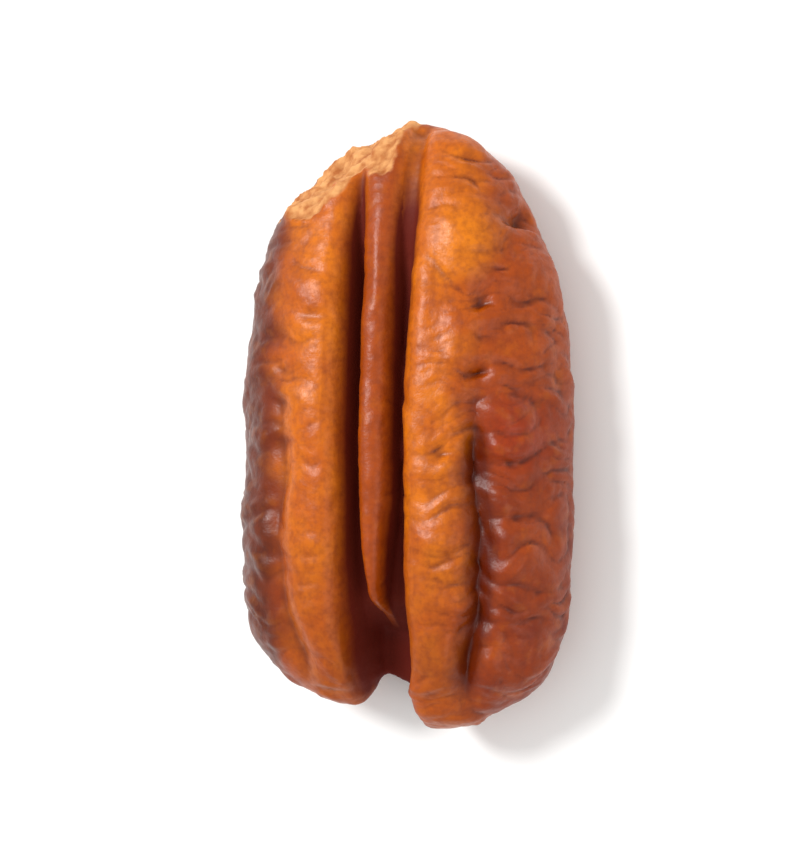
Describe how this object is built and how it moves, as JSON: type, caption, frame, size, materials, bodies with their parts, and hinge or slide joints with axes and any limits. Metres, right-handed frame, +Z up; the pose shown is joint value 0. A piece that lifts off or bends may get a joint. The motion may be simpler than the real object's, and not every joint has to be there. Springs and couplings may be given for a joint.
{
  "type": "shelled pecan half",
  "caption": "Shelled pecan half lying on its flat face: domed back with a middle ridge between deep grooves, lobed end and chipped tip.",
  "frame": {"origin": "middle of the bounding box on the surface that the half rests on", "axes": "+Y along the length towards the chipped tip, +X across the width, +Z up out of the domed back"},
  "size_m": [0.0184, 0.032, 0.0086],
  "materials": {
    "seed_coat": "satin seed coat, reddish brown with golden crests, near-black grooves and a pale torn patch at the tip"
  },
  "bodies": {
    "root": {"pecan_kernel": "seed_coat"}
  },
  "joints": []
}
